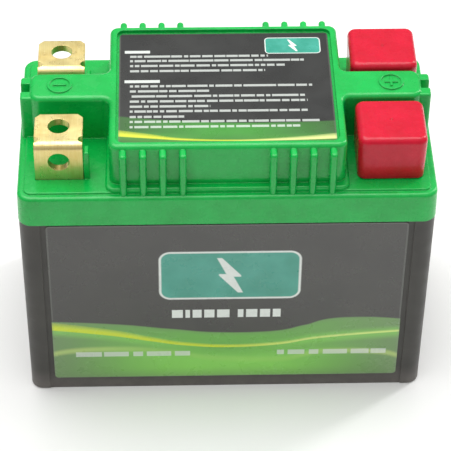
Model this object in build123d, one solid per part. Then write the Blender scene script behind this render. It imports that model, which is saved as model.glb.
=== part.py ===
from build123d import *
import math
import os

# A four-terminal lithium iron phosphate motorcycle battery.
# Millimetres. +X runs along the long side towards the positive terminals, -Y is the front,
# +Z is up. The origin is the middle of the base.

# ---------------------------------------------------------------- overall sizes
LENGTH = 107.0           # lid skirt to lid skirt, along X
WIDTH = 56.0             # lid skirt to lid skirt, along Y
HEIGHT = 85.0            # base to the rim of the lid's centre tower

# ---------------------------------------------------------------- case
CASE_INSET = 0.15        # the case's side behind the skirt's lower edge
CASE_DRAFT = 0.2         # degrees, each wall leans in towards the base
CASE_CORNER = 3.4        # corner radius of the case in plan
CASE_FLOOR = 2.4
CASE_FOOT_RADIUS = 0.6   # rounding round the base
PANEL_PILLAR = 5.4       # corner pillar left standing beside each label panel
PANEL_RECESS = 0.4       # depth of the label panels
TONGUE_WALL = 1.1        # upstand on the case that plugs into the lid
TONGUE_HEIGHT = 4.0
TONGUE_GAP = 0.15        # all round, between the tongue and the skirt

# ---------------------------------------------------------------- lid
LID_CORNER = 3.6         # corner radius of the skirt in plan
LID_WALL = 2.0
SKIRT_HEIGHT = 9.0       # from the case's top to the skirt's own top
SKIRT_DRAFT = 1.0        # degrees
SKIRT_EDGE = 1.0         # rounding along the top of the skirt
RIM_DROP = 14.0          # tower rim down to the skirt's top
FLOOR_STEP = 0.5         # pocket floor above the skirt's top
FLOOR_SETBACK = 1.9      # edge of the pocket floor behind the skirt
PLINTH_STEP = 1.1        # plinth round the tower above the pocket floor
PLINTH_SIDE = 1.0        # how far the plinth stands out beside the tower
TOWER_SETBACK = 3.85     # tower's front and rear behind the skirt
TOWER_CORNER = 2.2
TOWER_WALL = 2.4
TOP_EDGE = 1.2           # rounding along the top of the tower and bridges
RECESS_DEPTH = 1.1       # label recess in the top of the tower
RIM_ENDS = 1.8           # rim left standing round the recess, at the ends
RIM_SIDES = 1.8          # and along the front and rear
RECESS_CORNER = 2.0
BRIDGE_WIDTH = 10.4      # the wall between the two pockets at each end
BRIDGE_SETBACK = 3.2     # outer end of each bridge behind the skirt
BRIDGE_CORNER = 2.6
BRIDGE_INNER = 2.0       # fillet where the bridge runs into the tower
EAR_SETBACK = 0.8        # outer face of each ear behind the skirt
EAR_SIDE = 0.9           # each side of an ear in from the bridge's
EAR_DROP = 0.7           # ear tops below the bridge
EAR_GAP = 3.2            # slot between the two lobes of an ear
EAR_GAP_DEPTH = 6.0
EAR_EDGE = 0.7
RIB_COUNT = 4            # at each end of the front and of the rear of the tower
RIB_PITCH = 5.0
RIB_END = 3.55           # outermost rib in from the tower's end
RIB_THICKNESS = 1.8
RIB_TOP_DROP = 0.9       # rib tops below the tower rim
RIB_SETBACK = 0.9        # rib faces behind the skirt
RING_OUTER = 3.2         # raised polarity rings on the bridges
RING_LINE = 0.6
RING_HEIGHT = 0.4
SIGN_LENGTH = 3.4
SINK = 1.0               # features of one moulding run this far into each other

# ---------------------------------------------------------------- terminals
TERMINAL_SETBACK = 4.8   # terminal's outer edge behind the skirt
TERMINAL_WIDTH = 12.2
TERMINAL_DEPTH = 12.2
TERMINAL_THICKNESS = 2.0
TERMINAL_DROP = 2.2      # top leaf below the tower rim
TERMINAL_BEND = 2.0      # outer bend radius
TERMINAL_HOLE = 5.5      # diameter of both holes
TOP_HOLE_EDGE = 4.6      # top hole's centre from the free edge
FRONT_HOLE_DROP = 5.4    # leaf hole's centre below the top face
TERMINAL_CHAMFER = 1.3
NOTCH_RADIUS = 1.1
NOTCH_SETBACK = 2.6      # notch centre behind the upright leaf's face
TAB_LENGTH = 6.0         # how far the upright leaf reaches below the pocket floor
SLOT_CLEARANCE = 0.1     # all round, between a leaf and its slot in the lid
GUIDE_THICKNESS = 1.3
GUIDE_DEPTH = 3.2
GUIDE_DROP = 2.6         # guide top below the terminal's top face
GUIDE_GAP = 0.25
POCKET_CLEARANCE = 3.15  # between a cap and the tower
BRIDGE_CLEARANCE = 1.2   # between a cap and the bridge

# ---------------------------------------------------------------- terminal caps
CAP_WALL = 1.0
CAP_TOP_DROP = 0.3       # cap top below the tower rim
CAP_DRAFT = 1.2          # degrees, narrower at the open end
CAP_ROOM_OUTER = 0.35    # between the open end's wall and the terminal's outer edge
CAP_ROOM_INNER = 0.9     # between the open end's wall and the guide
CAP_ROOM_FRONT = 0.35    # between the open end's wall and the upright leaf
CAP_ROOM_REAR = 1.3      # between the open end's wall and the top leaf's free edge
CAP_EDGE = 1.6
CAP_CORNER = 2.0
CAP_FLOOR_GAP = 0.3
CAP_DIMPLE = 0.5         # radius of the moulding dimple in the top

# ---------------------------------------------------------------- labels
LABEL_THICKNESS = 0.25
LABEL_CORNER = 1.0
TOP_LABEL_GAP = 0.7      # all round, inside the recess
SIDE_LABEL_GAP = 1.45    # at each end, inside the panel
SIDE_LABEL_FOOT = 4.2    # lower edge above the base
SIDE_LABEL_HEAD = 0.6    # upper edge below the lid

# ---------------------------------------------------------------- inside
CELL_RADIUS = 9.1        # 18650 cells
CELL_LENGTH = 65.0
CELL_GAP = 1.2           # between neighbouring cells
CELL_BUTTON_RADIUS = 3.0
CELL_BUTTON_HEIGHT = 0.6
HOLDER_THICKNESS = 6.0
HOLDER_MARGIN = 1.6      # holder beyond the outermost cell
HOLDER_CLEARANCE = 0.15
HOLDER_POST = 3.0        # height of the posts that carry the board
POST_WIDTH = 6.0
HOLDER_WEB = 1.6         # web that stops the cell ends
HOLDER_LIP = 0.8         # cell ends set in from the holder's outer face
STRIP_THICKNESS = 0.2
STRIP_WIDTH = 8.0
SHEET_THICKNESS = 0.3
FOAM_BOTTOM = 2.0
FOAM_OVERHANG = 4.0      # pad beyond the cell pack at each end
FOAM_GAP = 0.2
TAB_FOOT = 3.0           # foot of an end tab that turns in under the board
TAB_POST_GAP = 0.7       # between an end tab and the nearer post
BOARD_MARGIN = 1.0       # board beyond the leads
BOARD_THICKNESS = 1.6
BOARD_CORNER = 1.5
SCREW_RADIUS = 1.25
SCREW_HEAD_RADIUS = 2.3
SCREW_HEAD = 1.6
SCREW_LENGTH = 3.6       # below the board
SCREW_TIP_GAP = 0.4
SCREW_CLEARANCE = 0.15
SCREW_SLOT_LENGTH = 3.4
SCREW_SLOT_WIDTH = 0.6
TRANSISTOR_COUNT = 6
TRANSISTOR_PITCH = 9.5
TRANSISTOR_WIDTH = 6.4
TRANSISTOR_DEPTH = 6.2
TRANSISTOR_HEIGHT = 2.3
TRANSISTOR_ROW = 4.8     # back of the row in front of the board's middle
TRANSISTOR_TAB = 1.2     # metal tab that shows behind each body
TRANSISTOR_TAB_WIDTH = 5.4
TRANSISTOR_LEG = 2.4     # legs in front of each body
LEG_WIDTH = 0.8
LEG_SPACING = 4.2
LEG_THICKNESS = 0.5
CHIP_LENGTH = 9.0
CHIP_DEPTH = 6.0
CHIP_HEIGHT = 1.5
CHIP_ROW = 7.0           # chip and resistors behind the board's middle
PIN_COUNT = 7            # along each side of the chip
PIN_PITCH = 1.3
PIN_WIDTH = 0.5
PIN_REACH = 1.1
PIN_THICKNESS = 0.3
RESISTOR_LENGTH = 6.2
RESISTOR_DEPTH = 3.2
RESISTOR_HEIGHT = 0.9
RESISTOR_FIRST = 16.0    # inner pair, from the middle
RESISTOR_PITCH = 8.0
BUS_WIDTH = 10.0
BUS_THICKNESS = 1.0
LEAD_RADIUS = 1.6
LEAD_INSET = 0.2         # lead inside the bus's inner edge
SEAL_HEIGHT = 0.8

# ---------------------------------------------------------------- worked-out sizes and levels
SKIRT_TOP = HEIGHT - RIM_DROP
CASE_TOP = SKIRT_TOP - SKIRT_HEIGHT          # where the lid's skirt lands on the case
FLOOR_LEVEL = SKIRT_TOP + FLOOR_STEP
PLINTH_LEVEL = FLOOR_LEVEL + PLINTH_STEP
CEILING = FLOOR_LEVEL - LID_WALL             # underside of the pocket floors
TERMINAL_TOP = HEIGHT - TERMINAL_DROP
CAP_TOP = HEIGHT - CAP_TOP_DROP
CASE_LENGTH = LENGTH - 2 * CASE_INSET
CASE_WIDTH = WIDTH - 2 * CASE_INSET
LEAF_OFFSET = TERMINAL_DEPTH / 2             # upright leaf's face in front of the centre
TERMINAL_X = LENGTH / 2 - TERMINAL_SETBACK - TERMINAL_WIDTH / 2
TERMINAL_Y = BRIDGE_WIDTH / 2 + BRIDGE_CLEARANCE + CAP_WALL + CAP_ROOM_REAR + TERMINAL_DEPTH / 2
CAP_INNER_REACH = GUIDE_GAP + GUIDE_THICKNESS + CAP_ROOM_INNER + CAP_WALL
POCKET_LENGTH = TERMINAL_SETBACK + TERMINAL_WIDTH + CAP_INNER_REACH + POCKET_CLEARANCE
TOWER_LENGTH = LENGTH - 2 * POCKET_LENGTH
TOWER_WIDTH = WIDTH - 2 * TOWER_SETBACK
RECESS_LENGTH = TOWER_LENGTH - 2 * RIM_ENDS
RECESS_WIDTH = TOWER_WIDTH - 2 * RIM_SIDES
BRIDGE_END = LENGTH / 2 - BRIDGE_SETBACK
EAR_REACH = LENGTH / 2 - EAR_SETBACK
EAR_WIDTH = BRIDGE_WIDTH - 2 * EAR_SIDE
PANEL_LENGTH = CASE_LENGTH - 2 * PANEL_PILLAR
SEAL_TOP = CASE_TOP + TONGUE_HEIGHT + SEAL_HEIGHT
STACK_FLOOR = CASE_FLOOR + FOAM_BOTTOM
CELL_PITCH = 2 * CELL_RADIUS + CELL_GAP
HOLDER_WIDTH = 2 * CELL_RADIUS + CELL_PITCH + 2 * HOLDER_MARGIN     # the holders are square
HOLDER_TOP = STACK_FLOOR + HOLDER_WIDTH
STACK_MIDDLE = STACK_FLOOR + HOLDER_WIDTH / 2
STACK_HALF = CELL_LENGTH / 2 + HOLDER_LIP    # outer face of each holder
BOARD_BASE = HOLDER_TOP + HOLDER_POST
BOARD_TOP = BOARD_BASE + BOARD_THICKNESS
TAB_FOOT_LEVEL = FLOOR_LEVEL - TAB_LENGTH    # lower end of a terminal's upright leaf
LEAD_X = TERMINAL_X - BUS_WIDTH / 2 + LEAD_INSET + LEAD_RADIUS
BOARD_LENGTH = 2 * (LEAD_X + LEAD_RADIUS + BOARD_MARGIN)


# ---------------------------------------------------------------- helpers
def slab(length, width, base, top, corner=0.0, taper=0.0):
    """A plate with rounded corners in plan, between two heights, centred on the Z axis."""
    with BuildPart() as part:
        with BuildSketch(Plane.XY.offset(base)):
            if corner > 0:
                RectangleRounded(length, width, corner)
            else:
                Rectangle(length, width)
        extrude(amount=top - base, taper=taper)
    return part.part


def block(x_low, x_high, y_low, y_high, z_low, z_high):
    """A plain box between two corners."""
    size = (x_high - x_low, y_high - y_low, z_high - z_low)
    middle = ((x_low + x_high) / 2, (y_low + y_high) / 2, (z_low + z_high) / 2)
    return Pos(*middle) * Box(*size)


def rod(radius, start, direction, length):
    """A round rod that starts at a point and runs along a direction."""
    middle = Vector(*start) + Vector(*direction) * (length / 2)
    return Plane(origin=middle, z_dir=direction) * Cylinder(radius, length)


def edges_at(solid, height, tolerance=0.01):
    """The edges that lie level at one height."""
    level = []
    for edge in solid.edges():
        box = edge.bounding_box()
        if abs(box.min.Z - height) < tolerance and abs(box.max.Z - height) < tolerance:
            level.append(edge)
    return level


def one_solid(shape):
    """The single solid of a shape that has only one."""
    return shape.solids()[0]


def write(shape, node):
    """Write one node's solids to its own STEP file."""
    solids = shape.solids()
    kept = solids[0] if len(solids) == 1 else Compound(children=list(solids))
    kept.label = node
    export_step(kept, os.path.join("parts", node + ".step"))


# ---------------------------------------------------------------- case
def case_inset_at(height):
    """How far the case's side has leaned in at a height, from its top."""
    return (CASE_TOP - height) * math.tan(math.radians(CASE_DRAFT))


def panel_plane(side):
    """Plane of a label panel, with its origin at the base and its normal out of the case."""
    lean = math.radians(CASE_DRAFT)
    foot = CASE_WIDTH / 2 - case_inset_at(0) - PANEL_RECESS
    return Plane(origin=(0, side * foot, 0), x_dir=(-side, 0, 0),
                 z_dir=(0, side * math.cos(lean), -math.sin(lean)))


def make_case():
    """Open box with a label panel front and rear and an upstand that plugs into the lid."""
    lean = 2 * case_inset_at(0)
    body = slab(CASE_LENGTH - lean, CASE_WIDTH - lean, 0, CASE_TOP, CASE_CORNER - lean / 2, -CASE_DRAFT)
    body = fillet(edges_at(body, 0), CASE_FOOT_RADIUS)
    tongue_length = LENGTH - 2 * (LID_WALL + TONGUE_GAP)
    tongue_width = WIDTH - 2 * (LID_WALL + TONGUE_GAP)
    tongue_corner = LID_CORNER - LID_WALL - TONGUE_GAP
    body += slab(tongue_length, tongue_width, CASE_TOP - SINK, CASE_TOP + TONGUE_HEIGHT, tongue_corner)
    for side in (-1, 1):
        cutter = Box(PANEL_LENGTH, 3 * CASE_TOP, WIDTH, align=(Align.CENTER, Align.CENTER, Align.MIN))
        cutter = panel_plane(side) * cutter
        cutter &= block(-LENGTH, LENGTH, -2 * WIDTH, 2 * WIDTH, -SINK, CASE_TOP)
        body -= cutter
    cavity_inset = LID_WALL + TONGUE_GAP + TONGUE_WALL
    cavity_corner = LID_CORNER - cavity_inset
    cavity_lean = 2 * case_inset_at(CASE_FLOOR)
    body -= slab(LENGTH - 2 * cavity_inset - cavity_lean, WIDTH - 2 * cavity_inset - cavity_lean,
                 CASE_FLOOR, CASE_TOP + TONGUE_HEIGHT + SINK, cavity_corner, -CASE_DRAFT)
    return one_solid(body)


def make_lid_seal():
    """Bead of sealant on top of the case's upstand, all round."""
    outer = 2 * (LID_WALL + TONGUE_GAP)
    inner = outer + 2 * TONGUE_WALL
    corner = LID_CORNER - LID_WALL - TONGUE_GAP
    base = CASE_TOP + TONGUE_HEIGHT
    ring = slab(LENGTH - outer, WIDTH - outer, base, SEAL_TOP, corner)
    ring -= slab(LENGTH - inner, WIDTH - inner, base - SINK, SEAL_TOP + SINK, corner - TONGUE_WALL)
    return one_solid(ring)


# ---------------------------------------------------------------- lid
def make_tower():
    """Raised middle of the lid, and the wall between the pockets that runs through it."""
    tower = slab(TOWER_LENGTH, TOWER_WIDTH, SKIRT_TOP - SINK, HEIGHT, TOWER_CORNER)
    tower += slab(2 * BRIDGE_END, BRIDGE_WIDTH, SKIRT_TOP - SINK, HEIGHT, BRIDGE_CORNER)
    tower = fillet(inner_corner_edges(tower), BRIDGE_INNER)
    tower = fillet(edges_at(tower, HEIGHT), TOP_EDGE)
    recess = slab(RECESS_LENGTH, RECESS_WIDTH, HEIGHT - RECESS_DEPTH, HEIGHT + SINK, RECESS_CORNER)
    return tower - recess


def inner_corner_edges(solid):
    """Upright edges where the bridges run into the tower."""
    found = []
    for edge in solid.edges().filter_by(Axis.Z):
        place = edge.center()
        at_tower = abs(abs(place.X) - TOWER_LENGTH / 2) < 0.01
        at_bridge = abs(abs(place.Y) - BRIDGE_WIDTH / 2) < 0.01
        if at_tower and at_bridge:
            found.append(edge)
    return found


def make_ear(side):
    """Upright pilaster with two lobes at the outer end of a bridge."""
    inner = BRIDGE_END - BRIDGE_CORNER
    ear = block(inner, EAR_REACH, -EAR_WIDTH / 2, EAR_WIDTH / 2, SKIRT_TOP - SINK, HEIGHT - EAR_DROP)
    outer_edges = ear.edges().filter_by(Axis.Z).group_by(Axis.X)[-1]
    ear = fillet(outer_edges, EAR_EDGE)
    ear = fillet(edges_at(ear, HEIGHT - EAR_DROP), EAR_EDGE * 0.8)
    if side < 0:
        ear = ear.mirror(Plane.YZ)
    return ear


def make_ear_gap(side):
    """Slot between the lobes of an ear, down from its top and out through its face."""
    gap = block(BRIDGE_END, EAR_REACH + SINK, -EAR_GAP / 2, EAR_GAP / 2,
                HEIGHT - EAR_DROP - EAR_GAP_DEPTH, HEIGHT + SINK)
    return gap if side > 0 else gap.mirror(Plane.YZ)


def make_rib(x, side):
    """Upright stiffening rib with a round nose, on the front or rear of the tower."""
    nose = WIDTH / 2 - RIB_SETBACK
    root = TOWER_WIDTH / 2 - SINK
    half = RIB_THICKNESS / 2
    middle = (root + nose - half) / 2
    depth = nose - half - root
    with BuildPart() as part:
        with BuildSketch(Plane.XY.offset(SKIRT_TOP - SINK)):
            with Locations((x, side * middle)):
                Rectangle(RIB_THICKNESS, depth)
            with Locations((x, side * (nose - half))):
                Circle(half)
        extrude(amount=HEIGHT - RIB_TOP_DROP - SKIRT_TOP + SINK)
    rib = part.part
    top = HEIGHT - RIB_TOP_DROP
    level = [edge for edge in edges_at(rib, top) if abs(edge.center().Y) > root + SINK / 5]
    return fillet(level, half * 0.8)


def rib_places():
    """Every rib's X and side."""
    places = []
    for side in (-1, 1):
        for end in (-1, 1):
            for index in range(RIB_COUNT):
                places.append((end * (TOWER_LENGTH / 2 - RIB_END - index * RIB_PITCH), side))
    return places


def make_polarity_mark(side):
    """Raised ring with a minus or a plus in it, on top of a bridge."""
    x = side * TERMINAL_X
    with BuildPart() as part:
        with BuildSketch(Plane.XY.offset(HEIGHT - SINK)):
            with Locations((x, 0)):
                Circle(RING_OUTER)
                Circle(RING_OUTER - RING_LINE, mode=Mode.SUBTRACT)
                Rectangle(SIGN_LENGTH, RING_LINE)
                if side > 0:
                    Rectangle(RING_LINE, SIGN_LENGTH)
        extrude(amount=SINK + RING_HEIGHT)
    return part.part


def terminal_centres():
    """Name, X and Y of each terminal; the upright leaf is always on the front side."""
    return [("terminal_negative_front", -TERMINAL_X, -TERMINAL_Y),
            ("terminal_negative_rear", -TERMINAL_X, TERMINAL_Y),
            ("terminal_positive_front", TERMINAL_X, -TERMINAL_Y),
            ("terminal_positive_rear", TERMINAL_X, TERMINAL_Y)]


def make_guide(x, y):
    """Small upright beside a terminal that keeps its leaf from twisting."""
    inward = -1 if x > 0 else 1
    near = x + inward * (TERMINAL_WIDTH / 2 + GUIDE_GAP)
    far = near + inward * GUIDE_THICKNESS
    front = y - LEAF_OFFSET
    guide = block(min(near, far), max(near, far), front, front + GUIDE_DEPTH,
                  FLOOR_LEVEL - SINK, TERMINAL_TOP - GUIDE_DROP)
    return fillet(edges_at(guide, TERMINAL_TOP - GUIDE_DROP), GUIDE_THICKNESS * 0.35)


def make_lid():
    """Moulded lid: skirt, pocket floors, plinth, tower, bridges, ears, ribs and guides."""
    lid = slab(LENGTH, WIDTH, CASE_TOP, SKIRT_TOP, LID_CORNER, SKIRT_DRAFT)
    lid = fillet(edges_at(lid, SKIRT_TOP), SKIRT_EDGE)
    floor_length = LENGTH - 2 * FLOOR_SETBACK
    floor_width = WIDTH - 2 * FLOOR_SETBACK
    floor_corner = LID_CORNER - FLOOR_SETBACK
    floor = slab(floor_length, floor_width, SKIRT_TOP - SINK, FLOOR_LEVEL, floor_corner)
    floor = fillet(edges_at(floor, FLOOR_LEVEL), FLOOR_STEP * 0.6)
    plinth_length = TOWER_LENGTH + 2 * PLINTH_SIDE
    plinth = slab(plinth_length, floor_width, SKIRT_TOP - SINK, PLINTH_LEVEL, TOWER_CORNER)
    plinth = fillet(edges_at(plinth, PLINTH_LEVEL), PLINTH_STEP * 0.5)
    lid = lid + floor + plinth + make_tower()
    for side in (-1, 1):
        lid += make_ear(side)
        lid -= make_ear_gap(side)
        lid += make_polarity_mark(side)
    for x, side in rib_places():
        lid += make_rib(x, side)
    for name, x, y in terminal_centres():
        lid += make_guide(x, y)
    lid -= make_lid_hollow()
    for name, x, y in terminal_centres():
        lid -= make_leaf_slot(x, y)
    return one_solid(lid)


def make_lid_hollow():
    """The space inside the lid: skirt, step that lands on the seal, tower and bridges."""
    skirt = 2 * LID_WALL
    ledge = 2 * (LID_WALL + TONGUE_GAP + TONGUE_WALL)
    hollow = slab(LENGTH - skirt, WIDTH - skirt, CASE_TOP - SINK, SEAL_TOP, LID_CORNER - LID_WALL)
    hollow += slab(LENGTH - ledge, WIDTH - ledge, CASE_TOP, CEILING, LID_CORNER - ledge / 2)
    roof = HEIGHT - RECESS_DEPTH - LID_WALL
    tower_corner = max(TOWER_CORNER - TOWER_WALL, TOWER_CORNER / 2)
    hollow += slab(TOWER_LENGTH - 2 * TOWER_WALL, TOWER_WIDTH - 2 * TOWER_WALL, CASE_TOP, roof, tower_corner)
    hollow += slab(2 * (BRIDGE_END - 2 * LID_WALL), BRIDGE_WIDTH - 2 * LID_WALL, CASE_TOP, roof)
    return hollow


def make_leaf_slot(x, y):
    """Slot in a pocket floor for a terminal's upright leaf."""
    half = TERMINAL_WIDTH / 2 + SLOT_CLEARANCE
    front = y - LEAF_OFFSET - SLOT_CLEARANCE
    back = y - LEAF_OFFSET + TERMINAL_THICKNESS + SLOT_CLEARANCE
    return block(x - half, x + half, front, back, CEILING - SINK, FLOOR_LEVEL + SINK)


# ---------------------------------------------------------------- terminals
def make_terminal(x, y):
    """Bent brass strip: a top leaf, an upright leaf and a tab below the pocket floor."""
    front = y - LEAF_OFFSET
    back = y + LEAF_OFFSET
    foot = TAB_FOOT_LEVEL
    inner = TERMINAL_BEND * 0.35
    with BuildPart() as part:
        with BuildSketch(Plane.YZ.offset(x - TERMINAL_WIDTH / 2)):
            with BuildLine():
                Polyline((front, foot), (front, TERMINAL_TOP), (back, TERMINAL_TOP),
                         (back, TERMINAL_TOP - TERMINAL_THICKNESS),
                         (front + TERMINAL_THICKNESS, TERMINAL_TOP - TERMINAL_THICKNESS),
                         (front + TERMINAL_THICKNESS, foot), (front, foot))
            make_face()
        extrude(amount=TERMINAL_WIDTH)
    strip = part.part
    bends = strip.edges().filter_by(Axis.X)
    outer = [edge for edge in bends
             if abs(edge.center().Y - front) < 0.01 and abs(edge.center().Z - TERMINAL_TOP) < 0.01]
    strip = fillet(outer, TERMINAL_BEND)
    corner = [edge for edge in strip.edges().filter_by(Axis.X)
              if abs(edge.center().Y - front - TERMINAL_THICKNESS) < 0.01
              and abs(edge.center().Z - TERMINAL_TOP + TERMINAL_THICKNESS) < 0.01]
    strip = fillet(corner, inner)
    free_edges = [edge for edge in strip.edges().filter_by(Axis.Z) if abs(edge.center().Y - back) < 0.01]
    strip = chamfer(free_edges, TERMINAL_CHAMFER)
    reach = 3 * TERMINAL_THICKNESS
    strip -= Pos(x, back - TOP_HOLE_EDGE, TERMINAL_TOP) * Cylinder(TERMINAL_HOLE / 2, reach)
    strip -= rod(TERMINAL_HOLE / 2, (x, front - 2, TERMINAL_TOP - FRONT_HOLE_DROP), (0, 1, 0), reach)
    for side in (-1, 1):
        notch = Pos(x + side * TERMINAL_WIDTH / 2, front + NOTCH_SETBACK, TERMINAL_TOP)
        strip -= notch * Cylinder(NOTCH_RADIUS, reach)
    return one_solid(strip)


def make_terminal_cap(y):
    """Soft cap over a positive terminal and its guide, open below."""
    base = FLOOR_LEVEL + CAP_FLOOR_GAP
    x_high = TERMINAL_X + TERMINAL_WIDTH / 2 + CAP_ROOM_OUTER
    x_low = TERMINAL_X - TERMINAL_WIDTH / 2 - GUIDE_GAP - GUIDE_THICKNESS - CAP_ROOM_INNER
    y_low = y - LEAF_OFFSET - CAP_ROOM_FRONT
    y_high = y + LEAF_OFFSET + CAP_ROOM_REAR
    length = x_high - x_low
    width = y_high - y_low
    shell = slab(length + 2 * CAP_WALL, width + 2 * CAP_WALL, base, CAP_TOP, CAP_CORNER, -CAP_DRAFT)
    shell = fillet(edges_at(shell, CAP_TOP), CAP_EDGE)
    shell -= slab(length, width, base, CAP_TOP - CAP_WALL, CAP_CORNER - CAP_WALL, -CAP_DRAFT)
    shell -= Pos(0, 0, CAP_TOP + CAP_DIMPLE * 0.4) * Sphere(CAP_DIMPLE)
    return one_solid(Pos((x_low + x_high) / 2, (y_low + y_high) / 2, 0) * shell)


# ---------------------------------------------------------------- labels
def make_top_label():
    """Printed film in the recess on the tower."""
    base = HEIGHT - RECESS_DEPTH
    length = RECESS_LENGTH - 2 * TOP_LABEL_GAP
    width = RECESS_WIDTH - 2 * TOP_LABEL_GAP
    return one_solid(slab(length, width, base, base + LABEL_THICKNESS, LABEL_CORNER))


def make_side_label(side):
    """Printed film on a recessed panel of the case; it leans with the wall."""
    slope = math.cos(math.radians(CASE_DRAFT))
    foot = SIDE_LABEL_FOOT / slope
    head = (CASE_TOP - SIDE_LABEL_HEAD) / slope
    length = PANEL_LENGTH - 2 * SIDE_LABEL_GAP
    outline = Pos(0, (foot + head) / 2, 0) * RectangleRounded(length, head - foot, LABEL_CORNER)
    return one_solid(extrude(panel_plane(side) * outline, amount=LABEL_THICKNESS))


# ---------------------------------------------------------------- cells and board
def cell_places():
    """Y and Z of the four cells, numbered along the series chain."""
    near = CELL_PITCH / 2
    return [(-near, STACK_MIDDLE + near), (-near, STACK_MIDDLE - near),
            (near, STACK_MIDDLE - near), (near, STACK_MIDDLE + near)]


def make_cell(index):
    """Cylindrical cell along X, its positive button turned end for end down the chain."""
    y, z = cell_places()[index]
    body = Cylinder(CELL_RADIUS, CELL_LENGTH - CELL_BUTTON_HEIGHT)
    body = fillet(body.edges(), 0.6)
    body += Pos(0, 0, CELL_LENGTH / 2) * Cylinder(CELL_BUTTON_RADIUS, CELL_BUTTON_HEIGHT)
    facing = 1 if index % 2 == 0 else -1
    shift = facing * CELL_BUTTON_HEIGHT / 2
    return one_solid(Pos(-shift, y, z) * Rot(0, 90 * facing, 0) * body)


def make_cell_holder(side):
    """Moulded frame that grips the four cells at one end and carries the board."""
    outer = STACK_HALF
    inner = outer - HOLDER_THICKNESS
    half = HOLDER_WIDTH / 2
    holder = block(inner, outer, -half, half, STACK_FLOOR, HOLDER_TOP)
    for y in (POST_WIDTH / 2 - half, half - POST_WIDTH / 2):
        holder += block(inner, outer, y - POST_WIDTH / 2, y + POST_WIDTH / 2, HOLDER_TOP - SINK, BOARD_BASE)
        start = ((inner + outer) / 2, y, BOARD_BASE - SCREW_LENGTH)
        holder -= rod(SCREW_RADIUS, start, (0, 0, 1), SCREW_LENGTH + SINK)
    for y, z in cell_places():
        seat = CELL_RADIUS + HOLDER_CLEARANCE
        holder -= rod(seat, (inner - SINK, y, z), (1, 0, 0), HOLDER_THICKNESS + SINK - HOLDER_LIP)
        holder -= rod(seat - HOLDER_WEB, (inner, y, z), (1, 0, 0), HOLDER_THICKNESS + SINK)
    if side < 0:
        holder = holder.mirror(Plane.YZ)
    return one_solid(holder)


def make_strip(side, first, second):
    """Nickel strip that joins two cells at one end."""
    y_first, z_first = cell_places()[first]
    y_second, z_second = cell_places()[second]
    half = STRIP_WIDTH / 2
    base = STACK_HALF
    strip = block(base, base + STRIP_THICKNESS, min(y_first, y_second) - half, max(y_first, y_second) + half,
                  min(z_first, z_second) - half, max(z_first, z_second) + half)
    if side < 0:
        strip = strip.mirror(Plane.YZ)
    return one_solid(strip)


def make_end_tab(index):
    """Nickel tab from an end cell of the chain up over the holder to the board, between the posts."""
    cell_y, z = cell_places()[index]
    half = STRIP_WIDTH / 2
    y = math.copysign(HOLDER_WIDTH / 2 - POST_WIDTH - TAB_POST_GAP - half, cell_y)
    base = STACK_HALF
    tab = block(base, base + STRIP_THICKNESS, y - half, y + half, z - half, BOARD_BASE)
    foot = block(base - TAB_FOOT, base + STRIP_THICKNESS, y - half, y + half,
                 BOARD_BASE - STRIP_THICKNESS, BOARD_BASE)
    tab += foot
    return one_solid(tab.mirror(Plane.YZ))


def make_end_sheet(side):
    """Insulating sheet over the strips at one end."""
    base = STACK_HALF + STRIP_THICKNESS
    half = HOLDER_WIDTH / 2
    sheet = block(base, base + SHEET_THICKNESS, -half, half, STACK_FLOOR, HOLDER_TOP)
    return one_solid(sheet if side > 0 else sheet.mirror(Plane.YZ))


def screw_places():
    """X and Y of the four board screws, over the holders' posts."""
    x = STACK_HALF - HOLDER_THICKNESS / 2
    y = HOLDER_WIDTH / 2 - POST_WIDTH / 2
    return [(sx * x, sy * y) for sx in (-1, 1) for sy in (-1, 1)]


def make_board():
    """Balancing and protection board."""
    board = slab(BOARD_LENGTH, HOLDER_WIDTH, BOARD_BASE, BOARD_TOP, BOARD_CORNER)
    for x, y in screw_places():
        start = (x, y, BOARD_BASE - SINK)
        board -= rod(SCREW_RADIUS + SCREW_CLEARANCE, start, (0, 0, 1), BOARD_THICKNESS + 2 * SINK)
    return one_solid(board)


def make_board_screws():
    """Four pan-head screws that hold the board to the holders."""
    screws = []
    for x, y in screw_places():
        tip = BOARD_BASE - SCREW_LENGTH + SCREW_TIP_GAP
        shank = rod(SCREW_RADIUS, (x, y, tip), (0, 0, 1), BOARD_TOP - tip)
        head = rod(SCREW_HEAD_RADIUS, (x, y, BOARD_TOP), (0, 0, 1), SCREW_HEAD)
        head = fillet(edges_at(head, BOARD_TOP + SCREW_HEAD), SCREW_HEAD * 0.3)
        slot = Pos(x, y, BOARD_TOP + SCREW_HEAD) * Box(SCREW_SLOT_WIDTH, SCREW_SLOT_LENGTH, SCREW_HEAD)
        slot += Pos(x, y, BOARD_TOP + SCREW_HEAD) * Box(SCREW_SLOT_LENGTH, SCREW_SLOT_WIDTH, SCREW_HEAD)
        screws.append(one_solid(shank + head - slot))
    return Compound(children=screws)


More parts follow.
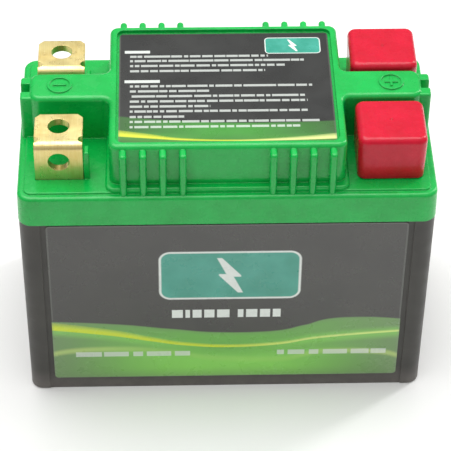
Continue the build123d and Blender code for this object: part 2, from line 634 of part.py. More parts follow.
def make_power_transistors():
    """Row of power transistors across the board."""
    pieces = []
    half = TRANSISTOR_WIDTH / 2
    tab_half = TRANSISTOR_TAB_WIDTH / 2
    back = -TRANSISTOR_ROW
    front = back - TRANSISTOR_DEPTH
    metal_top = BOARD_TOP + LEG_THICKNESS
    first = -TRANSISTOR_PITCH * (TRANSISTOR_COUNT - 1) / 2
    for index in range(TRANSISTOR_COUNT):
        x = first + index * TRANSISTOR_PITCH
        piece = block(x - half, x + half, front, back, BOARD_TOP, BOARD_TOP + TRANSISTOR_HEIGHT)
        piece += block(x - tab_half, x + tab_half, back, back + TRANSISTOR_TAB, BOARD_TOP, metal_top)
        for end in (-1, 1):
            leg = x + end * LEG_SPACING / 2
            piece += block(leg - LEG_WIDTH / 2, leg + LEG_WIDTH / 2, front - TRANSISTOR_LEG, front,
                           BOARD_TOP, metal_top)
        pieces.append(one_solid(piece))
    return Compound(children=pieces)


def make_control_chip():
    """Balancing controller in the middle of the board."""
    half = CHIP_LENGTH / 2
    near = CHIP_ROW - CHIP_DEPTH / 2
    far = CHIP_ROW + CHIP_DEPTH / 2
    chip = block(-half, half, near, far, BOARD_TOP, BOARD_TOP + CHIP_HEIGHT)
    for index in range(PIN_COUNT):
        x = (index - (PIN_COUNT - 1) / 2) * PIN_PITCH
        chip += block(x - PIN_WIDTH / 2, x + PIN_WIDTH / 2, near - PIN_REACH, far + PIN_REACH,
                      BOARD_TOP, BOARD_TOP + PIN_THICKNESS)
    return one_solid(chip)


def make_balance_resistors():
    """One bleed resistor for each cell."""
    pieces = []
    half = RESISTOR_LENGTH / 2
    near = CHIP_ROW - RESISTOR_DEPTH / 2
    far = CHIP_ROW + RESISTOR_DEPTH / 2
    for end in (-1, 1):
        for index in range(2):
            x = end * (RESISTOR_FIRST + index * RESISTOR_PITCH)
            pieces.append(block(x - half, x + half, near, far, BOARD_TOP, BOARD_TOP + RESISTOR_HEIGHT))
    return Compound(children=pieces)


# ---------------------------------------------------------------- buses and leads
def make_bus(side):
    """Copper strip between the tabs of the two terminals at one end."""
    x = side * TERMINAL_X
    start = -TERMINAL_Y - LEAF_OFFSET + TERMINAL_THICKNESS
    end = TERMINAL_Y - LEAF_OFFSET
    return one_solid(block(x - BUS_WIDTH / 2, x + BUS_WIDTH / 2, start, end,
                           TAB_FOOT_LEVEL, TAB_FOOT_LEVEL + BUS_THICKNESS))


def make_lead(side):
    """Insulated lead, straight up from the board's end to the bus above it."""
    return one_solid(rod(LEAD_RADIUS, (side * LEAD_X, 0, BOARD_TOP), (0, 0, 1), TAB_FOOT_LEVEL - BOARD_TOP))


# ---------------------------------------------------------------- foam
def make_foam_bottom():
    """Foam pad under the cell pack."""
    return one_solid(slab(2 * (STACK_HALF + FOAM_OVERHANG), HOLDER_WIDTH, CASE_FLOOR, STACK_FLOOR))


def make_foam_side(side):
    """Foam pad between the cell pack and the front or rear wall."""
    inset = LID_WALL + TONGUE_GAP + TONGUE_WALL + case_inset_at(CASE_FLOOR)
    low = HOLDER_WIDTH / 2 + FOAM_GAP
    high = WIDTH / 2 - inset - FOAM_GAP
    pad = block(-STACK_HALF, STACK_HALF, low, high, CASE_FLOOR, HOLDER_TOP)
    return one_solid(pad if side > 0 else pad.mirror(Plane.XZ))


# ---------------------------------------------------------------- every node
def main():
    os.makedirs("parts", exist_ok=True)
    write(make_case(), "case")
    write(make_lid(), "lid")
    write(make_lid_seal(), "lid_seal")
    write(make_top_label(), "top_label")
    write(make_side_label(-1), "front_label")
    write(make_side_label(1), "rear_label")
    for name, x, y in terminal_centres():
        write(make_terminal(x, y), name)
    write(make_terminal_cap(-TERMINAL_Y), "terminal_cap_front")
    write(make_terminal_cap(TERMINAL_Y), "terminal_cap_rear")
    for index in range(4):
        write(make_cell(index), "cell_" + str(index + 1))
    write(make_cell_holder(-1), "cell_holder_left")
    write(make_cell_holder(1), "cell_holder_right")
    write(make_strip(1, 0, 1), "series_strip_1")
    write(make_strip(-1, 1, 2), "series_strip_2")
    write(make_strip(1, 2, 3), "series_strip_3")
    write(make_end_tab(0), "end_tab_positive")
    write(make_end_tab(3), "end_tab_negative")
    write(make_end_sheet(-1), "insulating_sheet_left")
    write(make_end_sheet(1), "insulating_sheet_right")
    write(make_board(), "balance_board")
    write(make_board_screws(), "board_screws")
    write(make_power_transistors(), "power_transistors")
    write(make_control_chip(), "control_chip")
    write(make_balance_resistors(), "balance_resistors")
    write(make_bus(-1), "negative_bus")
    write(make_bus(1), "positive_bus")
    write(make_lead(-1), "negative_lead")
    write(make_lead(1), "positive_lead")
    write(make_foam_bottom(), "foam_pad_bottom")
    write(make_foam_side(-1), "foam_pad_front")
    write(make_foam_side(1), "foam_pad_rear")


main()
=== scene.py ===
import math

import bpy
from mathutils import Matrix, Vector


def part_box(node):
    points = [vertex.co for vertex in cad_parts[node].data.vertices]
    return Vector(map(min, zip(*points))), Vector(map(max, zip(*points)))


# A four-terminal lithium motorcycle battery: its finishes, a plain studio and the camera.
# Metres, in the CAD model's frame: +X towards the positive terminals, -Y is the front, +Z is up.

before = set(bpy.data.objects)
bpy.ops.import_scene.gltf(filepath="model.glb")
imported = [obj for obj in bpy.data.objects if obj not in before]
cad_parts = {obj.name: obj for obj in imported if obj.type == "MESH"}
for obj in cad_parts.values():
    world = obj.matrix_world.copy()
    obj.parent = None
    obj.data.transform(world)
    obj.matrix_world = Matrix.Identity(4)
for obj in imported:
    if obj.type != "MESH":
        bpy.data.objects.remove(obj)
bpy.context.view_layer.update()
scene = bpy.context.scene

MILLIMETRES = 1000.0     # in a metre; every finish is laid out in millimetres


# ---------------------------------------------------------------- node helpers
def tone(red, green, blue):
    """A colour from its 0 to 255 screen values, as linear light."""
    linear = []
    for part in (red, green, blue):
        share = part / 255
        linear.append(share / 12.92 if share <= 0.04045 else ((share + 0.055) / 1.055) ** 2.4)
    return (*linear, 1.0)


class Finish:
    """One material's node tree, with short calls for the nodes that the finishes share."""

    def __init__(self, name):
        self.material = bpy.data.materials.new(name)
        self.material.use_nodes = True
        self.tree = self.material.node_tree
        self.tree.nodes.clear()
        self.shader = self.add("ShaderNodeBsdfPrincipled")
        output = self.add("ShaderNodeOutputMaterial")
        self.tree.links.new(self.shader.outputs["BSDF"], output.inputs["Surface"])
        place = self.add("ShaderNodeVectorMath", operation="SCALE")
        self.feed(place.inputs["Scale"], MILLIMETRES)
        self.feed(place.inputs[0], self.add("ShaderNodeTexCoord").outputs["Object"])
        self.place = place.outputs[0]
        split = self.add("ShaderNodeSeparateXYZ")
        self.feed(split.inputs[0], self.place)
        self.x, self.y, self.z = split.outputs

    def add(self, kind, **settings):
        node = self.tree.nodes.new(kind)
        for key, value in settings.items():
            setattr(node, key, value)
        return node

    def feed(self, socket, value):
        if isinstance(value, bpy.types.NodeSocket):
            self.tree.links.new(value, socket)
        else:
            socket.default_value = value

    def set(self, **sockets):
        """Set the shader's sockets; an underscore stands for a space."""
        for name, value in sockets.items():
            self.feed(self.shader.inputs[name.replace("_", " ")], value)

    def calc(self, operation, *values):
        node = self.add("ShaderNodeMath", operation=operation)
        for socket, value in zip(node.inputs, values):
            self.feed(socket, value)
        return node.outputs[0]

    def vector(self, operation, *values):
        node = self.add("ShaderNodeVectorMath", operation=operation)
        for socket, value in zip(node.inputs, values):
            self.feed(socket, value)
        return node.outputs["Value"] if operation in ("LENGTH", "DOT_PRODUCT") else node.outputs["Vector"]

    def noise(self, size, detail=3.0, stretch=(1, 1, 1), rough=0.55):
        """Noise with features of about that size in millimetres, longer along a stretched axis."""
        spread = self.vector("DIVIDE", self.place, stretch)
        node = self.add("ShaderNodeTexNoise")
        self.feed(node.inputs["Vector"], spread)
        self.feed(node.inputs["Scale"], 1.0 / size)
        self.feed(node.inputs["Detail"], detail)
        self.feed(node.inputs["Roughness"], rough)
        return node.outputs["Fac"]

    def span(self, value, low, high, out_low=0.0, out_high=1.0, smooth=True):
        """Map low..high to out_low..out_high, clamped."""
        node = self.add("ShaderNodeMapRange", interpolation_type="SMOOTHSTEP" if smooth else "LINEAR")
        for socket, part in zip(node.inputs, (value, low, high, out_low, out_high)):
            self.feed(socket, part)
        return node.outputs[0]

    def ramp(self, value, *stops):
        node = self.add("ShaderNodeValToRGB")
        self.feed(node.inputs[0], value)
        elements = node.color_ramp.elements
        while len(elements) < len(stops):
            elements.new(0.5)
        for element, (place, colour) in zip(elements, stops):
            element.position = place
            element.color = colour
        return node.outputs[0]

    def blend(self, share, first, second):
        node = self.add("ShaderNodeMix", data_type="RGBA")
        self.feed(node.inputs[0], share)
        self.feed(node.inputs[6], first)
        self.feed(node.inputs[7], second)
        return node.outputs[2]

    def bump(self, height, depth, strength=1.0, under=None):
        """A surface normal raised by height times depth, in millimetres."""
        node = self.add("ShaderNodeBump")
        self.feed(node.inputs["Strength"], strength)
        self.feed(node.inputs["Distance"], depth / MILLIMETRES)
        self.feed(node.inputs["Height"], height)
        if under is not None:
            self.feed(node.inputs["Normal"], under)
        return node.outputs["Normal"]

    def soft_edges(self, radius):
        """The normal with every sharp edge rounded, and a mask of where those edges are."""
        bevel = self.add("ShaderNodeBevel", samples=6)
        self.feed(bevel.inputs["Radius"], radius / MILLIMETRES)
        true_normal = self.add("ShaderNodeNewGeometry").outputs["Normal"]
        agreement = self.vector("DOT_PRODUCT", bevel.outputs[0], true_normal)
        return bevel.outputs[0], self.span(agreement, 0.995, 0.8)

    def curve(self, value, points, low, high):
        """A smooth line through points, each a pair of millimetres, over the value's low..high."""
        node = self.add("ShaderNodeFloatCurve")
        self.feed(node.inputs["Value"], self.span(value, low, high, smooth=False))
        tops = [point[1] for point in points]
        base, reach = min(tops) - 1, max(tops) - min(tops) + 2
        line = node.mapping.curves[0]
        places = [((x - low) / (high - low), (y - base) / reach) for x, y in points]
        line.points[0].location, line.points[1].location = places[0], places[-1]
        for place in places[1:-1]:
            line.points.new(*place)
        node.mapping.update()
        return self.calc("MULTIPLY_ADD", node.outputs[0], reach, base)

    def below(self, value, limit, soft=0.06):
        """1 where value is under limit, with a soft edge in millimetres."""
        return self.span(self.calc("SUBTRACT", limit, value), -soft, soft)

    def both(self, *masks):
        result = masks[0]
        for mask in masks[1:]:
            result = self.calc("MULTIPLY", result, mask)
        return result

    def either(self, *masks):
        result = masks[0]
        for mask in masks[1:]:
            result = self.calc("MAXIMUM", result, mask)
        return result

    def within(self, value, low, high, soft=0.06):
        return self.both(self.below(low, value, soft), self.below(value, high, soft))


def dress(finish, *names):
    """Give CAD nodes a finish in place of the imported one."""
    for name in names:
        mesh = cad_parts[name].data
        mesh.materials.clear()
        mesh.materials.append(finish.material)


# ---------------------------------------------------------------- mouldings
def lid_finish():
    """Glossy green moulding: soft mottling, fine texture, paler rubbed edges and a little dust."""
    f = Finish("green_moulding")
    edge_normal, edge = f.soft_edges(0.35)
    mottle = f.noise(9, 4)
    body = f.ramp(mottle, (0.3, tone(0, 163, 64)), (0.7, tone(2, 182, 76)))
    streak = f.noise(1.4, 5, (1, 1, 9))
    body = f.blend(f.span(streak, 0.55, 0.8, 0, 0.16), body, tone(50, 208, 108))
    worn = f.calc("MULTIPLY", edge, f.span(f.noise(2.2, 4), 0.35, 0.7, 0.1, 0.4))
    body = f.blend(worn, body, tone(60, 216, 112))
    dust = f.span(f.noise(0.5, 6, rough=0.75), 0.69, 0.8, 0, 0.25)
    body = f.blend(dust, body, tone(120, 200, 145))
    normal = f.bump(f.noise(0.22, 3), 0.012, 0.3, edge_normal)
    normal = f.bump(f.noise(7, 2), 0.2, 0.3, normal)
    f.set(Base_Color=body, Roughness=f.span(f.noise(3, 5), 0.3, 0.75, 0.2, 0.34), Normal=normal,
          Specular_IOR_Level=0.5, Subsurface_Weight=0.05, Subsurface_Radius=(0.1, 1.0, 0.3),
          Subsurface_Scale=0.0008)
    return f


def case_finish():
    """Charcoal moulding with a fine spark-eroded grain, faint scuffs and painted floor light towards its
    foot.
    """
    f = Finish("charcoal_moulding")
    edge_normal, edge = f.soft_edges(0.3)
    body = f.ramp(f.noise(12, 4), (0.3, tone(48, 46, 42)), (0.7, tone(58, 56, 51)))
    scuff = f.span(f.noise(0.9, 6, (7, 7, 1), 0.7), 0.62, 0.75, 0, 0.35)
    body = f.blend(scuff, body, tone(108, 104, 98))
    # Painted light: paler towards the foot, a little uneven, standing in for light bounced up from the pale
    # floor.
    painted_floor_light = f.both(f.span(f.z, 0, 8, 0.55, 0), f.span(f.noise(3, 5), 0.25, 0.7, 0.7, 1))
    body = f.blend(painted_floor_light, body, tone(126, 120, 116))
    body = f.blend(f.calc("MULTIPLY", edge, 0.35), body, tone(120, 116, 110))
    grain = f.noise(0.28, 2)
    normal = f.bump(grain, 0.05, 0.5, edge_normal)
    f.set(Base_Color=body, Roughness=f.span(f.noise(4, 5), 0.3, 0.7, 0.4, 0.49), Normal=normal,
          Specular_IOR_Level=0.5)
    return f


def cap_finish():
    """Soft red dip-moulded cap: faint flow marks, a paler bloom on its edges, specks of dust and painted
    shade towards its foot.
    """
    f = Finish("soft_red_cap")
    edge_normal, edge = f.soft_edges(0.25)
    cap_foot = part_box("terminal_cap_front")[0].z * MILLIMETRES
    body = f.ramp(f.noise(5, 3), (0.3, tone(190, 6, 38)), (0.75, tone(206, 12, 48)))
    # Painted shade: darker red towards the cap's foot, where it sits down against the lid.
    foot = f.span(f.z, cap_foot, cap_foot + 4.5, 0.25, 0.0)
    body = f.blend(foot, body, tone(166, 2, 26))
    body = f.blend(f.calc("MULTIPLY", edge, 0.3), body, tone(250, 90, 96))
    dust = f.span(f.noise(0.35, 6, rough=0.8), 0.7, 0.82, 0, 0.35)
    body = f.blend(dust, body, tone(250, 150, 150))
    normal = f.bump(f.noise(1.6, 4, (1, 1, 2)), 0.1, 0.35, edge_normal)
    normal = f.bump(f.noise(0.16, 2), 0.015, 0.4, normal)
    f.set(Base_Color=body, Roughness=f.span(f.noise(2, 4), 0.3, 0.7, 0.22, 0.34), Normal=normal,
          Subsurface_Weight=0.1, Subsurface_Radius=(1.0, 0.1, 0.1), Subsurface_Scale=0.0008,
          Specular_IOR_Level=0.25, Coat_Weight=0.22, Coat_Roughness=0.06)
    return f


# ---------------------------------------------------------------- metals
def brass_finish(name, clean, dull, rough_low, rough_high):
    """Bent strip metal: drawing lines along the strip, dull patches and bright edges."""
    f = Finish(name)
    edge_normal, edge = f.soft_edges(0.2)
    lines = f.noise(0.12, 3, (1, 40, 40))
    body = f.ramp(f.noise(6, 4, rough=0.5), (0.3, dull), (0.6, clean))
    body = f.blend(f.span(lines, 0.4, 0.7, 0, 0.25), body, tone(255, 244, 190))
    spots = f.span(f.noise(0.8, 5, rough=0.65), 0.67, 0.76, 0, 0.2)
    body = f.blend(spots, body, tone(168, 132, 62))
    body = f.blend(f.calc("MULTIPLY", edge, 0.4), body, tone(214, 178, 112))
    normal = f.bump(lines, 0.008, 0.4, edge_normal)
    normal = f.bump(f.noise(5, 2), 0.25, 0.3, normal)
    f.set(Base_Color=body, Metallic=0.8, Roughness=f.span(f.noise(1.8, 5), 0.3, 0.7, rough_low, rough_high),
          Normal=normal, Anisotropic=0.3)
    return f


# ---------------------------------------------------------------- printed films
# Each film's charcoal, grey green, leaf green, glow, deep lime and pale lime.
SIDE_INKS = ((tone(38, 36, 33), tone(50, 48, 43)), tone(106, 144, 84), tone(100, 178, 60), tone(136, 220, 80),
             tone(206, 224, 0), tone(214, 236, 130))
TOP_INKS = ((tone(22, 23, 22), tone(36, 37, 35)), tone(50, 92, 40), tone(58, 140, 44), tone(86, 166, 54),
            tone(206, 212, 52), tone(214, 222, 140))
PALE = tone(226, 232, 226)
TEAL = (tone(34, 146, 124), tone(58, 162, 142))


def film_base(name, charcoal):
    """The start of a film's print: charcoal ink, a little uneven."""
    f = Finish(name)
    f.body = f.ramp(f.noise(20, 3), (0.3, charcoal[0]), (0.7, charcoal[1]))
    return f


def film_finish(f, gloss):
    """Put the print under a laminate: its gloss, slight waviness and rubbed specks."""
    dust = f.span(f.noise(0.5, 6, rough=0.75), 0.67, 0.8, 0, 0.25)
    body = f.blend(dust, f.body, tone(190, 190, 184))
    normal = f.bump(f.noise(14, 2), 0.35, 0.12)
    normal = f.bump(f.noise(0.4, 3), 0.012, 0.3, normal)
    f.set(Base_Color=body, Roughness=f.span(f.noise(6, 5), 0.3, 0.7, 0.24, 0.36), Normal=normal,
          Coat_Weight=gloss, Coat_Roughness=0.08)
    return f


def add_wave(f, across, up, half, foot, top, ribbon_top, ribbon_foot, inks):
    """A green field below a wavy line, a lime ribbon through it and a glow under the ribbon's middle."""
    grey, leaf, glow, deep, pale = inks
    field_edge = f.curve(across, top, -half, half)
    upper = f.curve(across, ribbon_top, -half, half)
    lower = f.curve(across, ribbon_foot, -half, half)
    ends = f.calc("ABSOLUTE", f.calc("DIVIDE", across, half))
    green = f.ramp(ends, (0.2, leaf), (1.0, grey))
    rim = f.span(f.calc("SUBTRACT", field_edge, up), 0.0, 1.8, 0.4, 0.0)
    green = f.blend(rim, green, grey)
    under = f.calc("SUBTRACT", lower, up)
    lit = f.both(f.span(under, -0.5, 6.0), f.span(ends, 0.15, 0.95, 0.9, 0.0))
    green = f.blend(lit, green, glow)
    distance = f.calc("ABSOLUTE", under)
    beside = f.both(f.span(distance, 0.4, 3.0, 0.55, 0.0), f.span(ends, 0, 0.5))
    green = f.blend(beside, green, glow)
    green = f.blend(f.span(up, foot, foot + 4.0, 0.45, 0.0), green, grey)
    f.body = f.blend(f.below(up, field_edge, 0.3), f.body, green)
    rise = f.calc("DIVIDE", under, f.calc("SUBTRACT", lower, upper))
    fade = f.span(rise, 0.3, 1.0, 1.0, 0.35)
    ribbon = f.both(f.below(up, upper, 0.15), f.below(lower, up, 0.15), fade)
    f.body = f.blend(ribbon, f.body, f.ramp(f.calc("DIVIDE", across, half), (0.0, deep), (0.45, pale)))


def add_badge(f, across, up, x, y, half_length, half_height, bolt):
    """A rounded panel with a pale outline and a plain lightning bolt."""
    right = f.calc("SUBTRACT", across, x)
    rise = f.calc("SUBTRACT", up, y)
    corner = half_height * 0.35
    join = f.add("ShaderNodeCombineXYZ")
    f.feed(join.inputs[0], f.calc("SUBTRACT", f.calc("ABSOLUTE", right), half_length - corner))
    f.feed(join.inputs[1], f.calc("SUBTRACT", f.calc("ABSOLUTE", rise), half_height - corner))
    outside = f.vector("LENGTH", f.vector("MAXIMUM", join.outputs[0], (0, 0, 0)))
    soft = half_height * 0.02 + 0.03
    panel = f.below(outside, corner, soft)
    inner = f.below(outside, corner - half_height * 0.07, soft)
    f.body = f.blend(panel, f.body, PALE)
    f.body = f.blend(inner, f.body, f.ramp(f.noise(half_height, 3), (0.35, TEAL[0]), (0.65, TEAL[1])))
    lean = f.calc("MULTIPLY_ADD", rise, 0.42, right)
    taper = f.calc("MULTIPLY_ADD", f.calc("ABSOLUTE", rise), -0.36, bolt * 0.45)
    upper = f.both(f.within(rise, -bolt * 0.08, bolt, soft), f.below(-bolt * 0.12, lean, soft),
                   f.below(lean, taper, soft))
    mirrored = f.calc("MULTIPLY", lean, -1.0)
    lower = f.both(f.within(rise, -bolt, bolt * 0.08, soft), f.below(-bolt * 0.12, mirrored, soft),
                   f.below(mirrored, taper, soft))
    f.body = f.blend(f.either(upper, lower), f.body, PALE)


def add_border(f, across, up, low, high, foot, head, width):
    """A thin pale line just inside the film's edge."""
    inside = f.both(f.within(across, low + width, high - width), f.within(up, foot + width, head - width))
    line = f.calc("SUBTRACT", 1.0, inside)
    f.body = f.blend(f.calc("MULTIPLY", line, 0.22), f.body, tone(130, 136, 126))


def add_bars(f, across, up, rows, height, word, pitch, share=0.75):
    """Plain bars broken at uneven places. A row is its left end, right end and level."""
    masks = []
    for start, end, level in rows:
        in_row = f.within(up, level - height / 2, level + height / 2)
        masks.append(f.both(f.within(across, start, end), in_row))
    gaps = f.add("ShaderNodeTexNoise", noise_dimensions="2D")
    join = f.add("ShaderNodeCombineXYZ")
    f.feed(join.inputs[0], f.calc("DIVIDE", across, word))
    first = rows[0][2]
    f.feed(join.inputs[1], f.calc("ROUND", f.calc("DIVIDE", f.calc("SUBTRACT", up, first), pitch)))
    f.feed(gaps.inputs["Vector"], join.outputs[0])
    f.feed(gaps.inputs["Scale"], 1.0)
    f.feed(gaps.inputs["Detail"], 0.0)
    solid = f.span(gaps.outputs["Fac"], 0.34, 0.38)
    f.body = f.blend(f.calc("MULTIPLY", f.both(f.either(*masks), solid), share), f.body, PALE)


def side_film(name, node, facing):
    """The big film on a long side; facing is 1 where +X is to the right as it is read."""
    f = film_base(name, SIDE_INKS[0])
    low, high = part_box(node)
    half = high.x * MILLIMETRES
    foot, head = low.z * MILLIMETRES, high.z * MILLIMETRES
    across = f.x if facing > 0 else f.calc("MULTIPLY", f.x, -1.0)
    up = f.z
    top = [(-half, 26.2), (-30, 25.0), (-14, 22.8), (0, 21.3),
           (10, 21.4), (21, 23.8), (33, 26.6), (half, 25.8)]
    ribbon_top = [(-half, 25.9), (-30, 22.7), (-20, 19.9), (-10, 17.6),
                  (0, 16.7), (12, 17.2), (25, 19.5), (half, 21.7)]
    ribbon_foot = [(-half, 22.9), (-30, 20.4), (-20, 18.2), (-10, 16.3),
                   (0, 15.5), (12, 16.1), (25, 18.6), (half, 20.8)]
    add_wave(f, across, up, half, foot, top, ribbon_top, ribbon_foot, SIDE_INKS[1:])
    streak_line = [(-half, 13.6), (-30, 15.3), (-16, 14.2), (-2, 11.2), (14, 10.6), (28, 13.6), (half, 11.4)]
    streak = f.curve(across, streak_line, -half, half)
    glow = f.span(f.calc("ABSOLUTE", f.calc("SUBTRACT", up, streak)), 0.1, 1.6, 0.5, 0.0)
    ends = f.span(f.calc("ABSOLUTE", across), half * 0.25, half * 0.9, 0.25, 1.0)
    f.body = f.blend(f.both(glow, ends), f.body, SIDE_INKS[5])
    add_badge(f, across, up, 0.8, 43.0, 18.6, 8.8, 6.4)
    blocks = [(-14.5, -11.6), (-10.9, -9.7), (-9.0, -6.6), (-5.9, -3.2), (-2.5, 0.8),
              (3.0, 4.5), (5.2, 8.2), (8.9, 11.6), (12.3, 14.4)]
    level = f.either(*[f.within(across, start, end) for start, end in blocks])
    f.body = f.blend(f.both(level, f.within(up, 27.2, 30.2)), f.body, PALE)
    add_bars(f, across, up, [(-40.5, -9.7, 13.3), (13.8, 43.3, 13.3)], 1.8, 1.9, 6.0, 0.65)
    add_border(f, across, up, -half, half, foot, head, 0.45)
    return film_finish(f, 0.7)


def top_film():
    """The film in the lid's recess: small print, a badge and the same wave."""
    f = film_base("top_film", TOP_INKS[0])
    low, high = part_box("top_label")
    half = high.x * MILLIMETRES
    foot, head = low.y * MILLIMETRES, high.y * MILLIMETRES
    top = [(-half, -11.4), (-14, -13.2), (0, -14.2), (15, -14.3), (half, -13.8)]
    ribbon_top = [(-half, -16.7), (-20, -18.2), (-10, -20.1), (2, -20.7), (10, -20.4), (half, -18.6)]
    ribbon_foot = [(-half, -19.1), (-20, -19.9), (-10, -20.85), (2, -21.2), (10, -21.2), (half, -20.7)]
    add_wave(f, f.x, f.y, half, foot, top, ribbon_top, ribbon_foot, TOP_INKS[1:])
    rows = [(-24.6, 11.4, 12.3), (-24.6, 20.7, 10.5), (-24.6, 15.6, 8.5), (-24.6, 10.4, 6.4),
            (-24.6, 22.3, 0.3), (-24.6, -4.3, -1.7), (-24.6, 20.6, -3.7), (-24.6, 20.8, -5.7),
            (-24.6, -4.1, -7.7), (-24.6, 20.6, -9.6), (-24.6, -10.8, -11.7), (-24.6, 23.4, -13.6),
            (-24.6, 18.4, -15.6)]
    add_bars(f, f.x, f.y, rows, 0.85, 0.8, 2.0, 0.55)
    add_bars(f, f.x, f.y, [(-26.0, -19.4, 14.2), (-26.0, -16.9, 2.2)], 1.1, 60, 12.0, 0.8)
    add_badge(f, f.x, f.y, 18.0, 16.4, 7.3, 3.3, 2.4)
    add_border(f, f.x, f.y, -half, half, foot, head, 0.35)
    return film_finish(f, 0.45)


# ---------------------------------------------------------------- inside
def simple_moulding(name, dark, light, rough=(0.4, 0.6), size=0.3, metal=0.0):
    """A plain moulded or sheet finish with two close tones, grain and softened edges."""
    f = Finish(name)
    edge_normal, edge = f.soft_edges(0.12)
    body = f.ramp(f.noise(size * 12, 4), (0.3, dark), (0.7, light))
    body = f.blend(f.calc("MULTIPLY", edge, 0.3), body, tone(200, 200, 196))
    normal = f.bump(f.noise(size, 3), size * 0.15, 0.4, edge_normal)
    f.set(Base_Color=body, Roughness=f.span(f.noise(size * 6, 4), 0.3, 0.7, *rough), Normal=normal,
          Metallic=metal)
    return f


def board_finish():
    """Solder mask over copper tracks."""
    f = Finish("solder_mask")
    tracks = f.add("ShaderNodeTexBrick", offset=0.35, squash=1.4)
    f.feed(tracks.inputs["Vector"], f.place)
    f.feed(tracks.inputs["Scale"], 0.16)
    f.feed(tracks.inputs["Mortar Size"], 0.035)
    f.feed(tracks.inputs["Mortar Smooth"], 0.2)
    line = tracks.outputs["Fac"]
    mask = f.ramp(f.noise(6, 3), (0.3, tone(8, 74, 40)), (0.7, tone(14, 92, 52)))
    body = f.blend(line, mask, tone(40, 130, 78))
    roughness = f.span(f.noise(2, 3), 0.3, 0.7, 0.25, 0.4)
    f.set(Base_Color=body, Roughness=roughness, Normal=f.bump(line, 0.04, 0.6))
    return f


dress(lid_finish(), "lid")
dress(case_finish(), "case")
dress(cap_finish(), "terminal_cap_front", "terminal_cap_rear")
dress(brass_finish("terminal_brass", tone(224, 206, 140), tone(212, 186, 114), 0.26, 0.38),
      "terminal_negative_front", "terminal_negative_rear",
      "terminal_positive_front", "terminal_positive_rear")
dress(brass_finish("bus_brass", tone(222, 176, 112), tone(186, 136, 84), 0.28, 0.42),
      "negative_bus", "positive_bus")
dress(side_film("front_film", "front_label", 1), "front_label")
dress(side_film("rear_film", "rear_label", -1), "rear_label")
dress(top_film(), "top_label")
dress(simple_moulding("sealant", tone(34, 34, 33), tone(52, 52, 50), (0.5, 0.7)), "lid_seal")
dress(simple_moulding("cell_sleeve", tone(28, 74, 138), tone(40, 92, 160), (0.25, 0.4)),
      "cell_1", "cell_2", "cell_3", "cell_4")
dress(simple_moulding("holder_moulding", tone(36, 36, 35), tone(50, 49, 47)),
      "cell_holder_left", "cell_holder_right")
dress(simple_moulding("nickel_strip", tone(186, 182, 172), tone(214, 210, 200), (0.25, 0.4), 0.15, 1.0),
      "series_strip_1", "series_strip_2", "series_strip_3", "end_tab_positive", "end_tab_negative")
dress(simple_moulding("fish_paper", tone(104, 124, 112), tone(126, 146, 132), (0.7, 0.85)),
      "insulating_sheet_left", "insulating_sheet_right")
dress(board_finish(), "balance_board")
dress(simple_moulding("zinc_screw", tone(178, 180, 182), tone(206, 208, 208), (0.25, 0.4), 0.1, 1.0),
      "board_screws")
dress(simple_moulding("component_moulding", tone(24, 24, 25), tone(36, 36, 37), (0.45, 0.6), 0.15),
      "power_transistors", "control_chip", "balance_resistors")
dress(simple_moulding("lead_sleeve_black", tone(22, 22, 22), tone(34, 34, 34)), "negative_lead")
dress(simple_moulding("lead_sleeve_red", tone(160, 22, 24), tone(186, 34, 34)), "positive_lead")
dress(simple_moulding("closed_cell_foam", tone(40, 40, 42), tone(62, 62, 64), (0.8, 0.95), 0.6),
      "foam_pad_bottom", "foam_pad_front", "foam_pad_rear")


# ---------------------------------------------------------------- studio
def make_floor():
    """A wide pale floor that the battery stands on."""
    mesh = bpy.data.meshes.new("studio_floor")
    reach = 2.5
    mesh.from_pydata([(-reach, -reach, 0), (reach, -reach, 0), (reach, reach, 0), (-reach, reach, 0)], [],
                     [(0, 1, 2, 3)])
    floor = bpy.data.objects.new("studio_floor", mesh)
    scene.collection.objects.link(floor)
    f = Finish("pale_floor")
    pale = f.ramp(f.noise(300, 2), (0.3, tone(240, 240, 238)), (0.7, tone(244, 244, 243)))
    f.set(Base_Color=pale, Roughness=0.7, Specular_IOR_Level=0.2)
    mesh.materials.append(f.material)


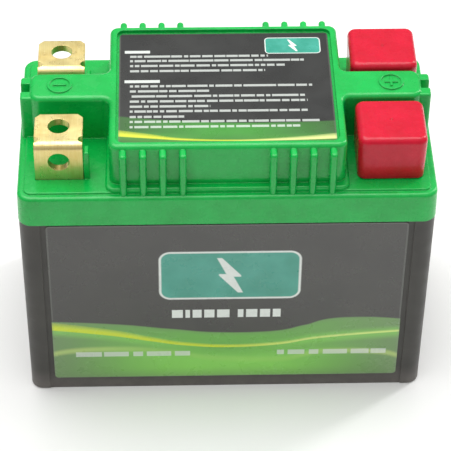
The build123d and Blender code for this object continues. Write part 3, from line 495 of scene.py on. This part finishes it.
def make_world():
    """Soft light from all round, brighter overhead."""
    world = bpy.data.worlds.new("studio")
    scene.world = world
    world.use_nodes = True
    tree = world.node_tree
    tree.nodes.clear()
    split = tree.nodes.new("ShaderNodeSeparateXYZ")
    ramp = tree.nodes.new("ShaderNodeValToRGB")
    background = tree.nodes.new("ShaderNodeBackground")
    output = tree.nodes.new("ShaderNodeOutputWorld")
    tree.links.new(tree.nodes.new("ShaderNodeTexCoord").outputs["Generated"], split.inputs[0])
    tree.links.new(split.outputs[2], ramp.inputs[0])
    ramp.color_ramp.elements[0].position = 0.0
    ramp.color_ramp.elements[0].color = (0.2, 0.2, 0.21, 1)
    ramp.color_ramp.elements[1].position = 0.9
    ramp.color_ramp.elements[1].color = (0.8, 0.8, 0.79, 1)
    tree.links.new(ramp.outputs[0], background.inputs["Color"])
    tree.links.new(background.outputs[0], output.inputs["Surface"])


def make_softbox(name, place, aim, size, power):
    """A rectangular area light that faces its aim."""
    light = bpy.data.lights.new(name, "AREA")
    light.shape = "RECTANGLE"
    light.size, light.size_y = size
    light.energy = power
    lamp = bpy.data.objects.new(name, light)
    scene.collection.objects.link(lamp)
    lamp.location = place
    lamp.rotation_mode = "QUATERNION"
    lamp.rotation_quaternion = (Vector(aim) - Vector(place)).to_track_quat("-Z", "Y")


def make_camera():
    """A long lens, above the front and a touch left of the middle."""
    azimuth = math.radians(2.07)
    elevation = math.radians(43.72)
    roll = math.radians(0.744)
    distance = 0.5864
    aim = Vector((0.00043, 0.0, 0.0346))
    camera = bpy.data.objects.new("camera", bpy.data.cameras.new("camera"))
    scene.collection.objects.link(camera)
    camera.data.sensor_width = 36.0
    camera.data.lens = 171.4
    camera.data.clip_start = 0.05
    camera.data.clip_end = 20.0
    level = math.cos(elevation)
    back = Vector((-level * math.sin(azimuth), -level * math.cos(azimuth), math.sin(elevation)))
    right = Vector((math.cos(azimuth), -math.sin(azimuth), 0))
    up = back.cross(right)
    tilted_right = right * math.cos(roll) + up * math.sin(roll)
    tilted_up = up * math.cos(roll) - right * math.sin(roll)
    turn = Matrix((tilted_right, tilted_up, back)).transposed()
    camera.matrix_world = Matrix.Translation(aim + back * distance) @ turn.to_4x4()
    scene.camera = camera


make_floor()
make_world()
make_softbox("key_softbox", (-0.1, 0.1, 0.8), (0, 0, 0.05), (0.7, 0.7), 5.6)
make_softbox("right_strip", (0.5, 0.3, 0.4), (0, 0, 0.06), (0.1, 0.6), 1.8)
make_camera()
scene.view_settings.view_transform = "Standard"
